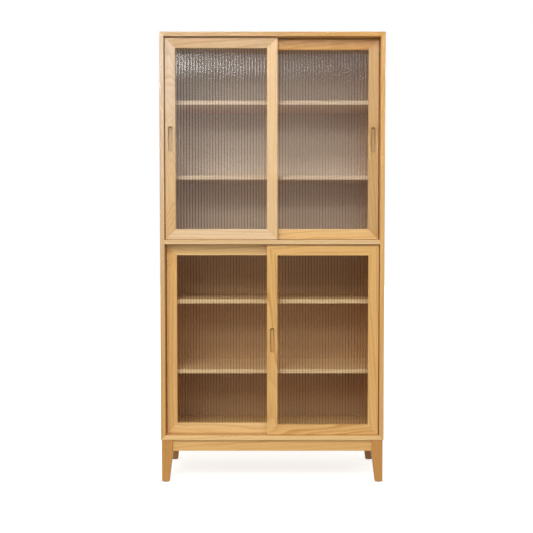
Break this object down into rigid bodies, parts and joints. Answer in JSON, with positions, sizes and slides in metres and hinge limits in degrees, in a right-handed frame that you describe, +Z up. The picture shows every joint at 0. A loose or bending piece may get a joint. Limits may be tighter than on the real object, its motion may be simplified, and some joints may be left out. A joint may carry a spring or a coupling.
{
  "type": "display cabinet",
  "caption": "Tall oak display cabinet on tapered legs, two tiers with shelves behind sliding doors of vertically reeded glass in mitred frames.",
  "frame": {"origin": "on the floor, under the middle of the cabinet", "axes": "+Z up, +X to the right of someone facing the doors, +Y from the doors to the back"},
  "size_m": [0.9, 0.4, 1.808],
  "materials": {
    "oak": "oiled, satin",
    "back_board": "veneered board, satin",
    "joint_wood": "bare",
    "reeded_glass": "clear, ribbed",
    "nylon": "moulded",
    "track_plastic": "wood-coloured, extruded, satin",
    "steel": "zinc plated",
    "bumper_rubber": "matt"
  },
  "bodies": {
    "carcass": {"left_side_panel": "oak", "right_side_panel": "oak", "top_panel": "oak", "middle_panel": "oak", "bottom_panel": "oak", "upper_back_panel": "back_board", "lower_back_panel": "back_board", "upper_high_shelf": "oak", "upper_low_shelf": "oak", "lower_high_shelf": "oak", "lower_low_shelf": "oak", "front_left_leg": "oak", "front_right_leg": "oak", "rear_left_leg": "oak", "rear_right_leg": "oak", "front_apron": "oak", "rear_apron": "oak", "left_apron": "oak", "right_apron": "oak", "carcass_splines": "joint_wood", "dowels": "joint_wood", "door_tracks": "track_plastic", "shelf_pins": "steel", "back_panel_screws": "steel", "corner_blocks": "joint_wood", "base_screws": "steel", "floor_glides": "nylon", "door_bumpers": "bumper_rubber"},
    "upper_left_door": {"upper_left_door_left_stile": "oak", "upper_left_door_right_stile": "oak", "upper_left_door_top_rail": "oak", "upper_left_door_bottom_rail": "oak", "upper_left_door_glass": "reeded_glass", "upper_left_door_glazing_beads": "oak", "upper_left_door_corner_keys": "joint_wood", "upper_left_door_sliders": "nylon"},
    "upper_right_door": {"upper_right_door_left_stile": "oak", "upper_right_door_right_stile": "oak", "upper_right_door_top_rail": "oak", "upper_right_door_bottom_rail": "oak", "upper_right_door_glass": "reeded_glass", "upper_right_door_glazing_beads": "oak", "upper_right_door_corner_keys": "joint_wood", "upper_right_door_sliders": "nylon"},
    "lower_left_door": {"lower_left_door_left_stile": "oak", "lower_left_door_right_stile": "oak", "lower_left_door_top_rail": "oak", "lower_left_door_bottom_rail": "oak", "lower_left_door_glass": "reeded_glass", "lower_left_door_glazing_beads": "oak", "lower_left_door_corner_keys": "joint_wood", "lower_left_door_sliders": "nylon"},
    "lower_right_door": {"lower_right_door_left_stile": "oak", "lower_right_door_right_stile": "oak", "lower_right_door_top_rail": "oak", "lower_right_door_bottom_rail": "oak", "lower_right_door_glass": "reeded_glass", "lower_right_door_glazing_beads": "oak", "lower_right_door_corner_keys": "joint_wood", "lower_right_door_sliders": "nylon"}
  },
  "joints": [
    {"name": "upper_left_slide", "type": "slide", "parent": "carcass", "child": "upper_left_door", "axis": [1, 0, 0], "range_m": [0, 0.408]},
    {"name": "upper_right_slide", "type": "slide", "parent": "carcass", "child": "upper_right_door", "axis": [1, 0, 0], "range_m": [-0.408, 0]},
    {"name": "lower_left_slide", "type": "slide", "parent": "carcass", "child": "lower_left_door", "axis": [1, 0, 0], "range_m": [0, 0.408]},
    {"name": "lower_right_slide", "type": "slide", "parent": "carcass", "child": "lower_right_door", "axis": [1, 0, 0], "range_m": [-0.408, 0]}
  ]
}
